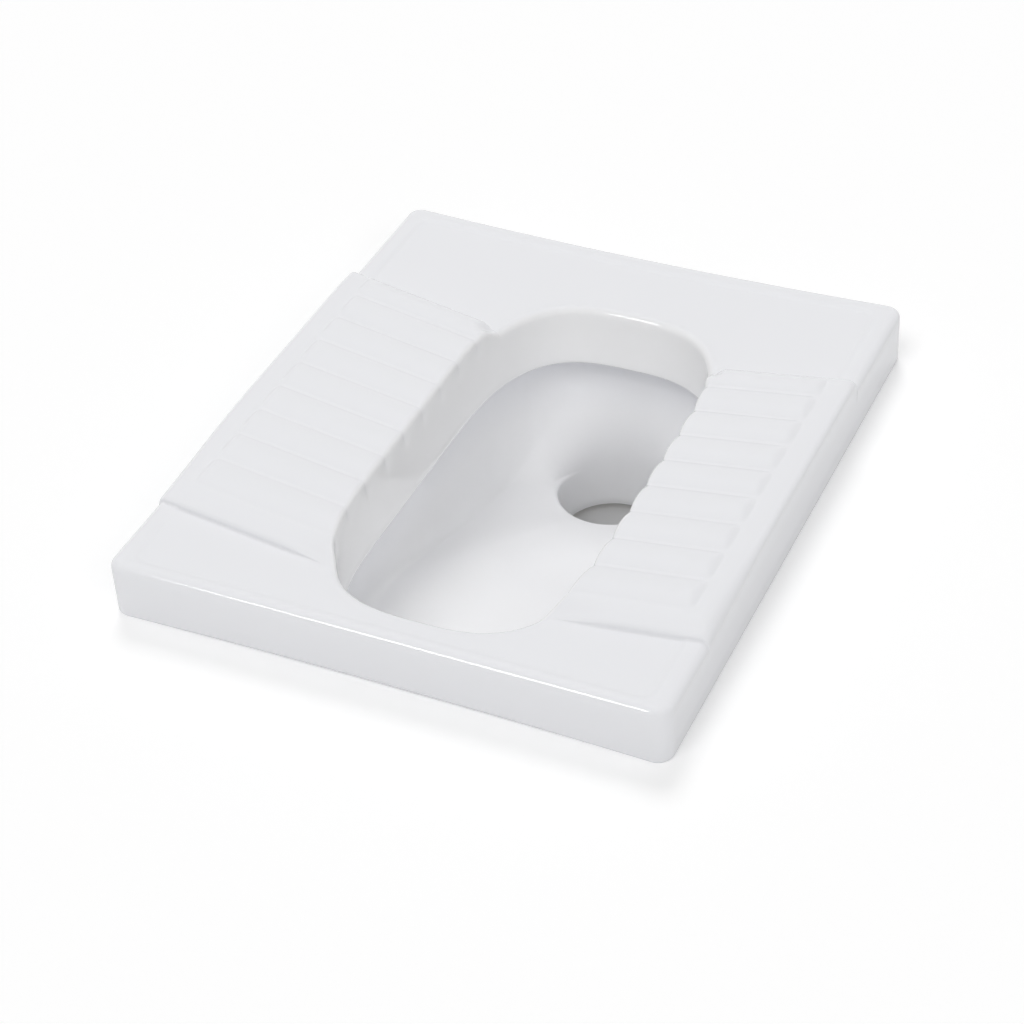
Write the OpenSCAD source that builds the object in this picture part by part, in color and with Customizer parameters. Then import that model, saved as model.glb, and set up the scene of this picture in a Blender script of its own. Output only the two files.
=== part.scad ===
// Squat toilet pan in glazed vitreous china, with its flush channel, outlet and seals.
// Millimetres. +Z is up, +Y is towards the wall behind the user, +X is to the right.
// The origin is on the finished floor, under the middle of the deck.

/* [Deck] */
// Width of the deck, left to right
deck_w = 430; // [400:5:520]
// Length of the deck, front to rear
deck_l = 504; // [490:2:600]
// Height of the deck's top over the finished floor
deck_h = 46.5; // [44:0.5:60]
// Thickness of the deck's plate
plate_t = 12; // [10:0.5:14]
// Thickness of the skirt's wall
skirt_t = 10; // [9:0.5:14]
// Corner radius of the deck, seen from above
corner_r = 12.5; // [10:0.5:30]
// Radius of the deck's top edge
edge_r = 7.5; // [4:0.5:9]
// Width of the raised border along the sides
border_side = 17; // [12:0.5:24]
// Width of the raised border along the front
border_front = 11; // [9:0.5:16]
// Width of the raised border along the rear
border_rear = 17; // [12:0.5:24]
// Depth of the platforms below the border
recess = 1; // [0.5:0.1:2]
// How far the rear edge curves inwards in its middle
rear_bow = 6.5; // [0:0.5:8]
// Radius of the front skirt's foot in its middle, where it is rounder than at the corners
front_foot_r = 7.5; // [2:0.5:9]
// Width of the arch in the rear skirt that the flush pipe passes through
arch_w = 54; // [52:1:60]

/* [Well] */
// Width of the well's mouth between the treads
well_w = 188.8; // [170:0.2:200]
// Distance from the deck's front edge to the well's mouth
front_margin = 29.5; // [28:0.5:46]
// Distance from the deck's rear edge to the well's mouth
rear_margin = 90; // [76:0.5:102]
// Length of the rounded front end
front_end_l = 125; // [90:1:140]
// Length of the rounded rear end
rear_end_l = 140; // [90:1:150]
// Squareness of the rounded ends (2 is an ellipse)
squareness = 3; // [2:0.1:4]
// How far the well's centre line lies to the right of the deck's
well_shift = 18.4; // [0:0.2:20]

/* [Rim] */
// Thickness of the rim at its nose
nose_t = 8; // [7:0.5:12]
// Radius of the nose, where the platforms turn down into the well
nose_r = 6; // [4:0.5:7.5]
// How far the rim's lower edge hangs below the finished floor
rim_drop = 7; // [4:0.5:20]
// How far the wall leans inwards on its way down
rim_lean = 1; // [0.5:0.5:4]
// Thickness of the rim at its lower edge
lip_t = 7; // [6:0.5:10]

/* [Flush channel] */
// Width of the channel at the sides and the rear
channel_w = 20; // [16:0.5:24]
// Width of the channel at the front, where the skirt is close
channel_front_w = 5; // [4.5:0.5:6]
// Thickness of the channel's walls
channel_t = 6; // [5.5:0.5:8]
// Diameter of a wash hole
wash_d = 5; // [3:0.5:5.5]
// Wash holes along each side
wash_count = 9; // [3:1:12]

/* [Bowl] */
// Thickness of the bowl's shell
bowl_t = 9; // [8:0.5:10]
// How far the bowl's wall stands back from the mouth, under the rim
bowl_back = 16; // [13:0.5:18]
// Depth of the outlet's edge below the finished floor
outlet_depth = 102; // [90:1:120]
// Width of the curve between the bowl's wall and its floor
floor_curve = 56; // [44:1:70]
// Share of the depth that the floor's slope takes, over its whole length
floor_slope = 0.62; // [0.5:0.01:0.7]

/* [Outlet] */
// Diameter of the outlet's passage
outlet_d = 87; // [80:1:92]
// Wall of the outlet horn
horn_t = 9.5; // [8:0.5:11]
// Length of the outlet horn below the bowl
horn_l = 42; // [38:1:60]
// Distance from the outlet's centre to the well's rear end
outlet_gap = 36; // [32:0.5:62]
// How far the outlet's centre lies to the left of the well's centre line
outlet_side = 4.4; // [0:0.2:8]
// Thickness of the rubber ring on the outlet horn
ring_t = 6; // [4:0.5:8]

/* [Inlet] */
// Outer diameter of the flush pipe
pipe_d = 32; // [28:1:32]
// Wall of the rubber cone around the pipe
cone_t = 3; // [2.5:0.5:3.5]
// Wall of the inlet horn
inlet_t = 5.5; // [5:0.5:6]
// Diameter of the passage into the channel
throat_d = 26; // [20:1:26]

/* [Treads] */
// Height of the treads over the deck
tread_h = 8; // [5:0.5:10]
// Height of a rib over its tread
rib_h = 3; // [1.5:0.1:4]
// Distance from rib to rib
rib_pitch = 32.6; // [26:0.1:34]
// Slant of the treads' rear end, in degrees; the ribs fan out from here
slant_rear = 12; // [6:0.5:14]
// Slant of the treads' front end, in degrees
slant_front = 8; // [4:0.5:14]
// Distance from the deck's rear edge to the treads' rear end, at their outer side
tread_rear_gap = 115.5; // [112:0.5:132]
// Distance from the deck's front edge to the treads' front end, at their outer side
tread_front_gap = 77; // [74:1:102]
// Distance from the treads' rear end to the first valley
first_valley = 28.5; // [20:0.5:32]
// Width of the plain strip outside the ribs
strip_w = 20; // [16:0.5:26]
// Webs under each tread
web_count = 5; // [3:1:7]
// Thickness of a web
web_t = 8; // [6:0.5:10]

/* [Hidden] */

china = [0.93, 0.93, 0.95];
rubber = [0.12, 0.12, 0.13];

seat_gap = 0.3;               // clearance of rubber on china
half_w = deck_w / 2;
half_l = deck_l / 2;
well_front = half_l - front_margin;        // the mouth's ends, from the middle of the deck
well_rear = half_l - rear_margin;
tread_front = half_l - tread_front_gap;    // the treads' ends, from the middle of the deck
tread_rear = half_l - tread_rear_gap;
outlet_y = well_rear - outlet_gap;
outlet_x = well_shift - outlet_side;
horn_d = outlet_d + 2 * horn_t;
plate_z = deck_h - plate_t;   // underside of the deck's plate
side_steps = 4;               // divisions of the well's straight sides
end_steps = 28;               // divisions of each rounded end
arc_step = 22.5;              // degrees between the facets of a rounded edge
bow_steps = 12;               // divisions of the bowed rear edge
eps = 0.01;

// ---------- the well's outline ----------

half_well = well_w / 2;
straight_rear = well_rear - rear_end_l;
straight_front = front_end_l - well_front;

function smooth(t) = let (u = min(1, max(0, t))) u * u * (3 - 2 * u);
function power(v, p) = sign(v) * pow(abs(v), p);

// a point of a rounded end, moved outwards by d along the outline's normal
function end_point(a, base, reach, d) =
    let (c = power(cos(a), 2 / squareness), s = power(sin(a), 2 / squareness),
         nx = power(c, squareness - 1) / half_well,
         ny = power(s, squareness - 1) / reach,
         n = norm([nx, ny]))
    [half_well * c + d * nx / n, base + reach * s + d * ny / n];

// a point of a straight side
function side_point(side, t, d) =
    [side * (half_well + d), straight_rear + (straight_front - straight_rear) * t];

// the whole outline as [point, outward distance chosen for that point]
function station(i) =
    i <= end_steps
    ? ["rear", 180 * i / end_steps]
    : i < end_steps + side_steps
    ? ["left", (i - end_steps) / side_steps]
    : i <= 2 * end_steps + side_steps
    ? ["front", 180 + 180 * (i - end_steps - side_steps) / end_steps]
    : ["right", 1 - (i - 2 * end_steps - side_steps) / side_steps];
stations = 2 * end_steps + 2 * side_steps;

function well_point(i, d) =
    let (s = station(i),
         p = s[0] == "rear" ? end_point(s[1], straight_rear, rear_end_l, d)
           : s[0] == "front" ? end_point(s[1], straight_front, front_end_l, d)
           : side_point(s[0] == "left" ? -1 : 1, s[1], d))
    p + [well_shift, 0];

function well_outline(d) = [for (i = [0 : stations - 1]) well_point(i, d)];

// ---------- shells made of rings ----------

// rings: lists of equally many points; closes the last ring to the first, as a tube does
module ring_tube(rings) {
    n = len(rings[0]);
    m = len(rings);
    polyhedron(
        points = [for (r = rings) each r],
        faces = [for (j = [0 : m - 1], i = [0 : n - 1])
            let (a = j * n + i, b = j * n + (i + 1) % n,
                 c = ((j + 1) % m) * n + (i + 1) % n, e = ((j + 1) % m) * n + i)
            each [[a, e, b], [b, e, c]]],
        convexity = 8);
}

// rings stacked from bottom to top, with flat ends
module ring_stack(rings) {
    n = len(rings[0]);
    m = len(rings);
    polyhedron(
        points = [for (r = rings) each r],
        faces = concat(
            [[for (i = [0 : n - 1]) i]],
            [[for (i = [n - 1 : -1 : 0]) (m - 1) * n + i]],
            [for (j = [0 : m - 2], i = [0 : n - 1])
                let (a = j * n + i, b = j * n + (i + 1) % n, c = a + n, e = b + n)
                each [[a, c, b], [b, c, e]]]),
        convexity = 8);
}

// ---------- deck ----------

// inward bow of the rear edge at x
function bow(x) = rear_bow * (1 - pow(x / half_w, 2));

// the deck's outline drawn in by inset: rounded corners and a bowed rear edge
function deck_outline(inset) =
    let (r = max(1, corner_r - inset), cx = half_w - inset - r, cy = half_l - inset - r)
    concat(
        [for (a = [0 : arc_step : 90]) let (x = cx + r * cos(a)) [x, cy + r * sin(a) - bow(x)]],
        [for (k = [1 : bow_steps - 1]) let (x = cx * (1 - 2 * k / bow_steps))
            [x, cy + r - bow(x)]],
        [for (a = [90 : arc_step : 180]) let (x = r * cos(a) - cx) [x, cy + r * sin(a) - bow(x)]],
        [for (a = [180 : arc_step : 270]) [r * cos(a) - cx, r * sin(a) - cy]],
        [for (k = [1 : bow_steps - 1]) [cx * (2 * k / bow_steps - 1), -cy - r]],
        [for (a = [270 : arc_step : 360]) [cx + r * cos(a), r * sin(a) - cy]]);

function deck_ring(inset, z) = [for (p = deck_outline(inset)) [p[0], p[1], z]];

foot_r = 2;   // small radius along the skirt's foot

// what the foot's radius gains along the front edge
function foot_gain(p) =
    p[1] > 0 ? 0 : (front_foot_r - foot_r) * max(0, 1 - pow(p[0] / (half_w - corner_r), 2));

// ring of the foot's rounding at angle a, 0 on the floor and 90 on the outer side
function foot_ring(a) =
    [for (p = deck_outline(foot_r * (1 - sin(a))))
        [p[0], p[1] + foot_gain(p) * (1 - sin(a)), (foot_r + foot_gain(p)) * (1 - cos(a))]];

// the deck without its openings: a tray turned over, as rings from the plate's underside down the
// skirt's inner side, round its foot and up to the top
module deck_body() {
    inner = [deck_ring(skirt_t, plate_z), deck_ring(skirt_t, 0)];
    foot = [for (a = [0 : arc_step : 90]) foot_ring(a)];
    top = [for (a = [0 : arc_step : 90])
        deck_ring(edge_r * (1 - cos(a)), deck_h - edge_r + edge_r * sin(a))];
    ring_stack(concat(inner, foot, top));
}

// y at x of the row that lies u mm in front of the treads' rear end at their outer side:
// the rows' slant changes evenly from the rear end to the front end
tread_len = tread_rear + tread_front;
function row_y(x, u) =
    tread_rear - u
    - (tan(slant_rear) + (tan(slant_front) - tan(slant_rear)) * u / tread_len)
      * (half_w - abs(x));

// platform in front of the treads (side -1) or behind them (side 1)
module platform(side) {
    outer = half_w - border_side;
    u_end = side > 0 ? 0 : tread_len;
    y_end = side > 0 ? half_l - border_rear : border_front - half_l;
    translate([0, 0, deck_h - recess])
        linear_extrude(recess + 1)
            polygon(concat(
                [for (k = [0 : bow_steps]) let (x = outer * (2 * k / bow_steps - 1))
                    [x, y_end - (side > 0 ? bow(x) : 0)]],
                [[outer, row_y(outer, u_end)],
                 [well_shift, row_y(well_shift + half_well, u_end)],
                 [-outer, row_y(outer, u_end)]]));
}

// arched way for the flush pipe through the rear skirt
module pipe_arch() {
    translate([well_shift, half_l + 1, 0])
        rotate([90, 0, 0])
            linear_extrude(skirt_t + rear_bow + 2)
                polygon(concat(
                    [for (a = [0 : 10 : 180])
                        [arch_w / 2 * cos(a), inlet_z + arch_w / 2 * sin(a)]],
                    [[-arch_w / 2, -1], [arch_w / 2, -1]]));
}

module deck() {
    color(china)
    difference() {
        deck_body();
        translate([0, 0, plate_z - 1])
            linear_extrude(plate_t + 2)
                polygon(well_outline(nose_t));
        platform(-1);
        platform(1);
        pipe_arch();
    }
}

// ---------- treads ----------

// 0 outside, 1 on the treads' part of the outline, for a point at height y on the well's side
function beside_tread(p) =
    smooth((p[1] - row_y(p[0], tread_len) + 2) / 8)
    * smooth((row_y(p[0], 0) + 2 - p[1]) / 8);

// how far the well's side lies from its centre line at y
function well_half_at(y) =
    y > straight_rear ? half_well * pow(1 - pow((y - straight_rear) / rear_end_l, squareness), 1 / squareness)
    : y < straight_front ? half_well * pow(1 - pow((straight_front - y) / front_end_l, squareness), 1 / squareness)
    : half_well;

tread_edge_r = 5;      // radius of a tread's edges
soft_edge_r = 13;      // radius of its outer edge at the front end, where it fades out
rib_rows = 6;          // rows of facets to a rib
valley_count = floor((tread_rear + tread_front - first_valley - 12) / rib_pitch) + 1;

// distances from a tread's rear end at which rows of facets lie
edge_rows = [for (a = [0 : 30 : 90]) tread_edge_r * (1 - cos(a))];
row_list = concat(
    edge_rows,
    [for (k = [1 : 3]) tread_edge_r + (first_valley - tread_edge_r) * k / 4],
    [for (k = [0 : rib_rows * (valley_count - 1)]) first_valley + rib_pitch * k / rib_rows],
    [for (k = [1 : 2]) let (last = first_valley + rib_pitch * (valley_count - 1))
        last + (tread_len - tread_edge_r - last) * k / 3],
    [for (k = [len(edge_rows) - 1 : -1 : 0]) tread_len - edge_rows[k]]);

// rounded fall of an edge: 0 at the edge, 1 once it is r away
function edge_fall(dist, r) =
    let (u = min(1, max(0, 1 - dist / r))) sqrt(max(0, 1 - u * u));

// height of a rib's cross-section, 1 on its crest and 0 in its valleys
function crest(phase) = 1 - pow(min(1, 2 * abs(phase)), 2.4);

// share of a rib's height at u mm from the rear end and v mm from the outer side
function rib_at(u, v) =
    let (last = first_valley + rib_pitch * (valley_count - 1),
         first_w = first_valley - 4,
         phase = u < first_valley ? (u - first_valley + first_w / 2) / first_w
               : u > last ? 0.5
               : ((u - first_valley) / rib_pitch) % 1 - 0.5,
         over = max(0, strip_w + rib_pitch / 2 - v) / rib_pitch)
    u > last ? 0 : crest(norm([phase, over]));

// side is -1 for the left tread and 1 for the right one
module tread(side) {
    rows = len(row_list);
    outer = [for (a = [0 : arc_step : 90]) edge_r * (1 - cos(a))];
    marks = concat(outer, [12, strip_w - 4, strip_w, strip_w + 4, strip_w + 9, strip_w + 16]);
    inner_n = 3;
    inner_edge = [6, 3.5, 1.6, 0.4, 0];
    low_n = len(outer);
    cols = len(marks) + inner_n + len(inner_edge);
    // distance of a row's inner end from the deck's centre line, met along the slanted row
    function inner_x(u) = abs(well_shift + side * well_half_at(row_y(half_well, u)));
    function col_x(u, j) =
        let (xi = inner_x(u), w = half_w - xi, m = marks[len(marks) - 1])
        j < len(marks) ? half_w - marks[j]
        : j < len(marks) + inner_n
          ? half_w - m - (w - m - inner_edge[0]) * (j - len(marks) + 1) / (inner_n + 1)
          : xi + inner_edge[j - len(marks) - inner_n];
    function low_z(j) = j < low_n ? deck_h - edge_r + edge_r * sin(j * arc_step) : deck_h;
    function spot(i, j, z) =
        let (u = row_list[i], x = col_x(u, j)) [x, row_y(x, u), z];
    function top_z(i, j) =
        let (u = row_list[i], x = col_x(u, j), v = half_w - x, w = x - inner_x(u),
             ends = min(edge_fall(u, tread_edge_r), edge_fall(tread_len - u, tread_edge_r)),
             soft = tread_edge_r + (soft_edge_r - tread_edge_r) * smooth(2.5 * u / tread_len - 1.5),
             out = edge_fall(v, soft), in = edge_fall(w, tread_edge_r))
        max(low_z(j) + 0.5, deck_h + (tread_h + rib_h * rib_at(u, v)) * ends
            - (1 - out) * soft - (1 - in) * (tread_edge_r - 1));
    // the top's grid, then the underside's: the rounded edge's columns and the inner one
    low_cols = low_n + 1;
    n = rows * cols;
    points = concat(
        [for (i = [0 : rows - 1], j = [0 : cols - 1]) spot(i, j, top_z(i, j))],
        [for (i = [0 : rows - 1], j = [0 : low_n - 1]) spot(i, j, low_z(j))],
        [for (i = [0 : rows - 1]) spot(i, cols - 1, deck_h)]);
    function up(i, j) = i * cols + j;
    function low(i, j) = j < low_n ? n + i * low_n + j : n + rows * low_n + i;
    faces = concat(
        [for (i = [0, rows - 1])
            let (f = concat([for (j = [0 : cols - 1]) up(i, j)],
                            [for (j = [low_cols - 1 : -1 : 0]) low(i, j)]))
            i > 0 ? f : [for (k = [len(f) - 1 : -1 : 0]) f[k]]],
        [for (i = [0 : rows - 2], j = [0 : low_cols - 2])
            each [[low(i, j), low(i + 1, j), low(i, j + 1)],
                  [low(i, j + 1), low(i + 1, j), low(i + 1, j + 1)]]],
        [for (i = [0 : rows - 2])
            each [[up(i, 0), up(i + 1, 0), low(i, 0)], [up(i + 1, 0), low(i + 1, 0), low(i, 0)],
                  [up(i, cols - 1), low(i, low_n), up(i + 1, cols - 1)],
                  [up(i + 1, cols - 1), low(i, low_n), low(i + 1, low_n)]]],
        [for (i = [0 : rows - 2], j = [0 : cols - 2])
            each [[up(i, j), up(i, j + 1), up(i + 1, j)],
                  [up(i, j + 1), up(i + 1, j + 1), up(i + 1, j)]]]);
    turned = [for (f = faces) [for (k = [len(f) - 1 : -1 : 0]) f[k]]];
    mirror([side < 0 ? 1 : 0, 0, 0])
        polyhedron(points = points, faces = turned, convexity = 10);
}

module left_tread() { color(china) tread(-1); }

module right_tread() { color(china) tread(1); }

// ---------- rim ----------

// section of the rim as [outward distance, height], from the lower edge up the inner side
function rim_section(tread_side) =
    let (top = deck_h - recess * (1 - tread_side),
         r = nose_r * (1 - tread_side) + 0.5 * tread_side,
         low = -rim_drop, inner = -rim_lean, lip_r = 3)
    concat(
        [[inner + lip_t, low], [inner + lip_r, low], [inner + 0.8, low + 0.8], [inner, low + lip_r]],
        [[0, top - r - 4]],
        [for (a = [15 : arc_step : 90]) [r * (1 - cos(a)), top - r + r * sin(a)]],
        [[nose_t, top], [nose_t, plate_z], [inner + lip_t, low + channel_t]]);

module rim() {
    color(china)
    ring_tube([for (k = [0 : len(rim_section(0)) - 1])
        [for (i = [0 : stations - 1])
            let (s = rim_section(beside_tread(well_point(i, 0)))[k], p = well_point(i, s[0]))
            [p[0], p[1], s[1]]]]);
}

// ---------- flush channel ----------

// 0 at the front of the well, 1 at its sides and rear
function roomy(i) = smooth((well_point(i, 0)[1] + well_front - 14) / 80);
function channel_inner(i) =
    lip_t - rim_lean + channel_front_w + (channel_w - channel_front_w) * roomy(i);

inlet_z = plate_z - (pipe_d / 2 + cone_t + inlet_t);

module flush_channel() {
    low = -rim_drop;
    start = lip_t - rim_lean;
    corner = 3;
    color(china)
    difference() {
        ring_tube([for (k = [0 : 6])
            [for (i = [0 : stations - 1])
                let (d = channel_inner(i),
                     s = [[start, low], [d + channel_t - corner, low], [d + channel_t, low + corner],
                          [d + channel_t, plate_z], [d, plate_z], [d, low + channel_t],
                          [start, low + channel_t]][6 - k],
                     p = well_point(i, s[0]))
                [p[0], p[1], s[1]]]]);
        for (side = [-1, 1], k = [0 : wash_count - 1])
            let (y = straight_front + (straight_rear + 60 - straight_front) * k / (wash_count - 1))
            translate([well_shift + side * (well_half_at(y) + start + wash_d / 2 + 1.2), y, low - 1])
                cylinder(d = wash_d, h = channel_t + 2, $fn = 24);
        translate([well_shift, well_rear + start + 2, inlet_z])
            rotate([-90, 0, 0])
                cylinder(d = throat_d, h = channel_w + channel_t + 10, $fn = 48);
    }
}

// the space inside the channel's outer face, for pieces that end on it
module channel_space() {
    translate([0, 0, inlet_z - deck_h])
        linear_extrude(2 * deck_h)
            polygon([for (i = [0 : stations - 1]) well_point(i, channel_inner(i) + channel_t)]);
}

// wedge on the rim's outer face that parts the incoming water
module flow_splitter() {
    tip = 11;
    base = 16;
    y0 = well_rear + nose_t + seat_gap;
    color(china)
        translate([well_shift, y0, -rim_drop + channel_t])
            linear_extrude(plate_z + rim_drop - channel_t)
                polygon([[-base / 2, 0], [base / 2, 0], [1.5, tip], [-1.5, tip]]);
}

// ---------- bowl ----------

outlet_r = outlet_d / 2;
outlet_top = -outlet_depth;
bowl_top = -rim_drop;
shoulder_r = horn_d / 2 + 8;    // radius of the flat ring under the bowl
bowl_base = outlet_top - bowl_t;
lip_r = 4;                      // radius of the outlet's edge
bowl_levels = 10;

lip_step = 1;                   // ledge between the rim's back and the bowl at the front

function back_at(i) =
    let (front = lip_t - rim_lean + lip_step) front + (bowl_back - front) * roomy(i);

// angle at which station i points from the outlet's centre
function outlet_angle(i) =
    let (p = well_point(i, 0)) atan2(p[1] - outlet_y, p[0] - outlet_x);

// a point of the shell's side: v runs from 0 at the rim to 1 at the outlet. The wall falls in
// a quarter ellipse as wide as the bend and the floor slopes on from there.
function bowl_point(i, v, back, end_r, z1, curve) =
    let (p = well_point(i, back), a = outlet_angle(i),
         q = [outlet_x + end_r * cos(a), outlet_y + end_r * sin(a)],
         run = norm(q - p),
         share = 1 / (run / curve + 1 / 0.9),
         h = v < 0.5 ? share * (1 - cos(180 * v)) : share + (1 - share) * (2 * v - 1),
         fall = v < 0.5 ? sin(180 * v) : 1,
         k = floor_slope * smooth((run - 10) / 270),
         xy = p + (q - p) * h)
    [xy[0], xy[1], bowl_top + (z1 - bowl_top) * ((1 - k) * fall + k * h)];

module bowl() {
    inner = [for (k = [0 : bowl_levels])
        [for (i = [0 : stations - 1])
            bowl_point(i, k / bowl_levels, back_at(i), outlet_r + lip_r, outlet_top, floor_curve)]];
    edge = [for (s = [[1.2, -1.2], [0, -lip_r], [0, bowl_base - outlet_top]])
        [for (i = [0 : stations - 1])
            let (a = outlet_angle(i), r = outlet_r + s[0])
            [outlet_x + r * cos(a), outlet_y + r * sin(a), outlet_top + s[1]]]];
    outer = [for (k = [bowl_levels : -1 : 0])
        [for (i = [0 : stations - 1])
            bowl_point(i, k / bowl_levels, back_at(i) + bowl_t, shoulder_r, bowl_base, floor_curve)]];
    color(china) ring_tube(concat(inner, edge, outer));
}

// ---------- outlet ----------

horn_base = bowl_base - horn_l;
flange_t = 7;
land_r = horn_d / 2 + 1;        // seat of the rubber ring, just under the flange
ring_low = bowl_base - flange_t - ring_t - seat_gap;

module outlet_horn() {
    color(china)
        translate([outlet_x, outlet_y, 0])
            rotate_extrude($fn = 96)
                polygon([[outlet_r, horn_base], [horn_d / 2 - 1.5, horn_base],
                         [horn_d / 2, horn_base + 1.5], [horn_d / 2, ring_low - 1],
                         [land_r, ring_low - 1], [land_r, bowl_base - flange_t],
                         [shoulder_r, bowl_base - flange_t], [shoulder_r, bowl_base],
                         [outlet_r, bowl_base]]);
}

module outlet_seal() {
    color(rubber)
        translate([outlet_x, outlet_y, ring_low])
            difference() {
                cylinder(r = shoulder_r, h = ring_t, $fn = 96);
                translate([0, 0, -1])
                    cylinder(r = land_r + seat_gap, h = ring_t + 2, $fn = 96);
            }
}

// ---------- inlet ----------

cone_r = pipe_d / 2 + cone_t;                 // seat of the rubber cone
inlet_r = cone_r + inlet_t;                   // outside of the inlet horn
inlet_start = well_rear + lip_t - rim_lean + channel_w + channel_t;
inlet_end = half_l - skirt_t - 4;
step_t = 5;                                   // shoulder that stops the cone

module inlet_horn() {
    reach = 4;   // how far the horn's blank starts inside the channel's face
    color(china)
        difference() {
            translate([well_shift, inlet_start, inlet_z])
                rotate([-90, 0, 0])
                    difference() {
                        translate([0, 0, -reach])
                            cylinder(r = inlet_r, h = inlet_end - inlet_start + reach, $fn = 72);
                        translate([0, 0, -reach - 1])
                            cylinder(d = throat_d, h = step_t + reach + 2, $fn = 48);
                        translate([0, 0, step_t])
                            cylinder(r = cone_r + seat_gap, h = inlet_end - inlet_start, $fn = 72);
                    }
            channel_space();
        }
}

module inlet_seal() {
    len = inlet_end - inlet_start - step_t - seat_gap;
    color(rubber)
        translate([well_shift, inlet_start + step_t + seat_gap, inlet_z])
            rotate([-90, 0, 0])
                difference() {
                    union() {
                        cylinder(r = cone_r, h = len, $fn = 72);
                        translate([0, 0, len + seat_gap])
                            cylinder(r = cone_r + 4, h = 3, $fn = 72);
                        translate([0, 0, len - 1])
                            cylinder(r = cone_r, h = 2, $fn = 72);
                    }
                    translate([0, 0, -1])
                        cylinder(d = pipe_d, h = len + 10, $fn = 72);
                }
}

// ---------- webs under the treads ----------

web_h = 20;
web_front = 40;    // from the treads' ends to the first and last web
web_rear = 60;

// side is -1 for the left webs and 1 for the right ones
module underside_ribs(side) {
    outer = half_w - skirt_t;
    reach = tread_len - web_front - web_rear;
    difference() {
        for (k = [0 : web_count - 1])
            translate([side > 0 ? half_well : -outer,
                       reach * k / max(1, web_count - 1) + web_front - tread_front - web_t / 2,
                       plate_z - web_h])
                cube([outer - half_well, web_t, web_h]);
        channel_space();
    }
}

module left_underside_ribs() { color(china) underside_ribs(-1); }

module right_underside_ribs() { color(china) underside_ribs(1); }

deck();
left_tread();
right_tread();
rim();
flush_channel();
flow_splitter();
bowl();
outlet_horn();
inlet_horn();
inlet_seal();
outlet_seal();
left_underside_ribs();
right_underside_ribs();
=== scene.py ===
import math

import bpy
import numpy as np
from mathutils import Matrix, Vector


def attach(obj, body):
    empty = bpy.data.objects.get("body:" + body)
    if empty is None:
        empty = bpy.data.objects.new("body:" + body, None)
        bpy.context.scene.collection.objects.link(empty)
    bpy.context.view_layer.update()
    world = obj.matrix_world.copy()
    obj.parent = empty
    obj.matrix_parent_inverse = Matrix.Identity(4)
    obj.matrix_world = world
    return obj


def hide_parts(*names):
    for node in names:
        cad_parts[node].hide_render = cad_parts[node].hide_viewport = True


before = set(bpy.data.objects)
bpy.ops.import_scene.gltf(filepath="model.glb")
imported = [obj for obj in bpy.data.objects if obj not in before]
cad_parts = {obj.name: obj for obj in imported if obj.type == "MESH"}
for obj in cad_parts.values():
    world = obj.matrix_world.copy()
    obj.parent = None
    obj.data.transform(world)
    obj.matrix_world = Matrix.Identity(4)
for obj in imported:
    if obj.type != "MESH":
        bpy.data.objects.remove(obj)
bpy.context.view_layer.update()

# sizes are in millimetres until a mesh is made; x runs to the right, y to the rear, z up
deckShape = {
    "width": 430.0,
    "length": 504.0,
    "height": 46.5,
    "plate": 12.0,
    "skirt": 10.0,
    "cornerRadius": 12.5,
    "edgeRadius": 7.5,
    "footRadius": 2.0,
    "frontFootRadius": 7.5,
    "innerFillet": 4.0,       # where the skirt's inside meets the plate
    "borderSide": 17.0,
    "borderFront": 11.0,
    "borderRear": 17.0,
    "borderStep": 1.0,
    "borderSoftness": 5.5,
    "borderCorner": 10.0,
    "cornerEaseFrom": 7.6,    # inset at which the edge's corner starts to turn into the border's
    "cornerEaseOver": 7.0,
    "rearBow": 6.5,
}
wellShape = {
    "halfWidth": 94.4,
    "shift": 18.4,            # from the deck's centre line
    "rearBase": 22.0,         # its sides are straight between the two bases
    "rearReach": 140.0,
    "frontBase": -97.5,
    "frontReach": 125.0,
    "squareness": 3.0,
    "noseRadius": 6.0,
    "wallLean": 1.0,
    "lipDrop": 7.0,
    "lipWidth": 7.0,
    "lipHeight": 7.0,
    "backWidth": 8.0,
}
treadShape = {
    "rear": 136.5,
    "front": 175.0,
    "height": 8.0,
    "ribHeight": 3.0,
    "ribPitch": 32.6,
    "ribPower": 2.1,
    "firstRib": 4.0,          # where it starts, counted from the tread's rear end
    "firstValley": 28.5,
    "valleys": 9,
    "strip": 20.0,            # plain strip along the outer edge
    "ribEnd": 8.0,
    "slantRear": 12.0,
    "slantFront": 8.0,
    "edgeRadius": 5.0,
    "softRadius": 13.0,
    "softFrom": 0.6,          # share of the length past which the outer edge gets rounder
    "footFillet": 2.5,
    "innerRadius": 4.5,
    "notchDepth": 1.2,
    "notchFrom": 0.76,        # share of the well wall's height at which the notches start
    "notchReach": 14.0,       # how far they go on past the first and last valley
    "notchFade": 8.0,
    "ramp": 26.0,             # length of the soft ramps at both ends
    "rearLead": 3.0,          # how far outside the tread they start
    "frontLead": 4.0,
    "rearMelt": 16.0,         # distance from the well within which a step becomes a ramp
    "frontMelt": 46.0,
    "frontStep": 0.5,         # the step's share of the front end away from the well
    "frontHaste": 1.3,        # how much steeper that step is than the rear one
}
gridSteps = {
    "rowMargin": 7.0,         # rows go on so far past both ends of a tread
    "ribsFrom": 6.2,          # and are even from here on
    "ribRows": 208,
    "rearSide": 20,
    "frontSide": 14,
    "corner": 10,
    "endEdge": 84,
    "spokeSmoothing": 9,
    "spokeAim": 4.0,          # a tread's spokes leave the well towards a point so far inside the border
    "leastCosine": 0.5,
}

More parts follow.
